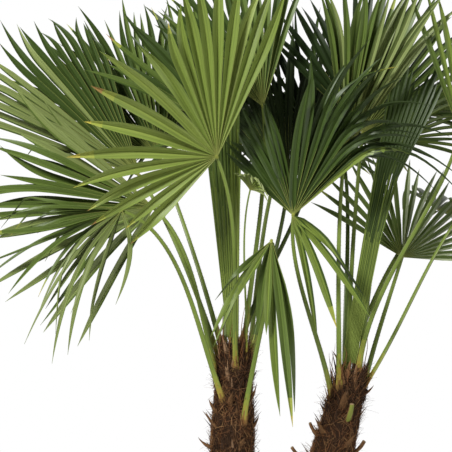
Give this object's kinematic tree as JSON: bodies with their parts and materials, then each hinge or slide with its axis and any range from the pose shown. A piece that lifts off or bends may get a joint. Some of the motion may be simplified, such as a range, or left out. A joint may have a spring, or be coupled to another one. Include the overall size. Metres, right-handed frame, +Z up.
{
  "type": "windmill palm",
  "caption": "Young clumping fan palm: leaning fibre-coated stems from one flared root crown, each with a head of pleated fan fronds on long stalks.",
  "frame": {"origin": "on the ground, at the flat cut under the root crown, midway between the stems", "axes": "+Z up, +X to the right as the picture shows the plant, -Y towards the viewer"},
  "size_m": [2.1213, 1.2064, 2.1414],
  "materials": {
    "stem_fibre": "coarse matted brown fibre with lighter loose strands",
    "leaf": "satin green leaf, paler and greyer below, yellow-green stalks",
    "young_leaf": "satin pale green closed leaf"
  },
  "bodies": {
    "root": {"root_crown": "stem_fibre", "trunk_left": "stem_fibre", "trunk_right": "stem_fibre", "frond_left_front": "leaf", "frond_left_low_side": "leaf", "frond_left_low_back": "leaf", "frond_left_wide": "leaf", "frond_left_rear": "leaf", "frond_left_upright": "leaf", "frond_left_high": "leaf", "frond_left_inner": "leaf", "frond_left_hanging": "leaf", "frond_left_young": "leaf", "frond_left_back_out": "leaf", "frond_left_back_mid": "leaf", "frond_left_back_in": "leaf", "frond_left_top": "leaf", "frond_right_front": "leaf", "frond_right_upright": "leaf", "frond_right_rear": "leaf", "frond_right_low_side": "leaf", "frond_right_high": "leaf", "frond_right_inner": "leaf", "frond_right_wide": "leaf", "frond_right_back_out": "leaf", "frond_right_back_in": "leaf", "frond_right_back_wide": "leaf", "frond_left_spear": "young_leaf", "frond_right_spear": "young_leaf"}
  },
  "joints": []
}
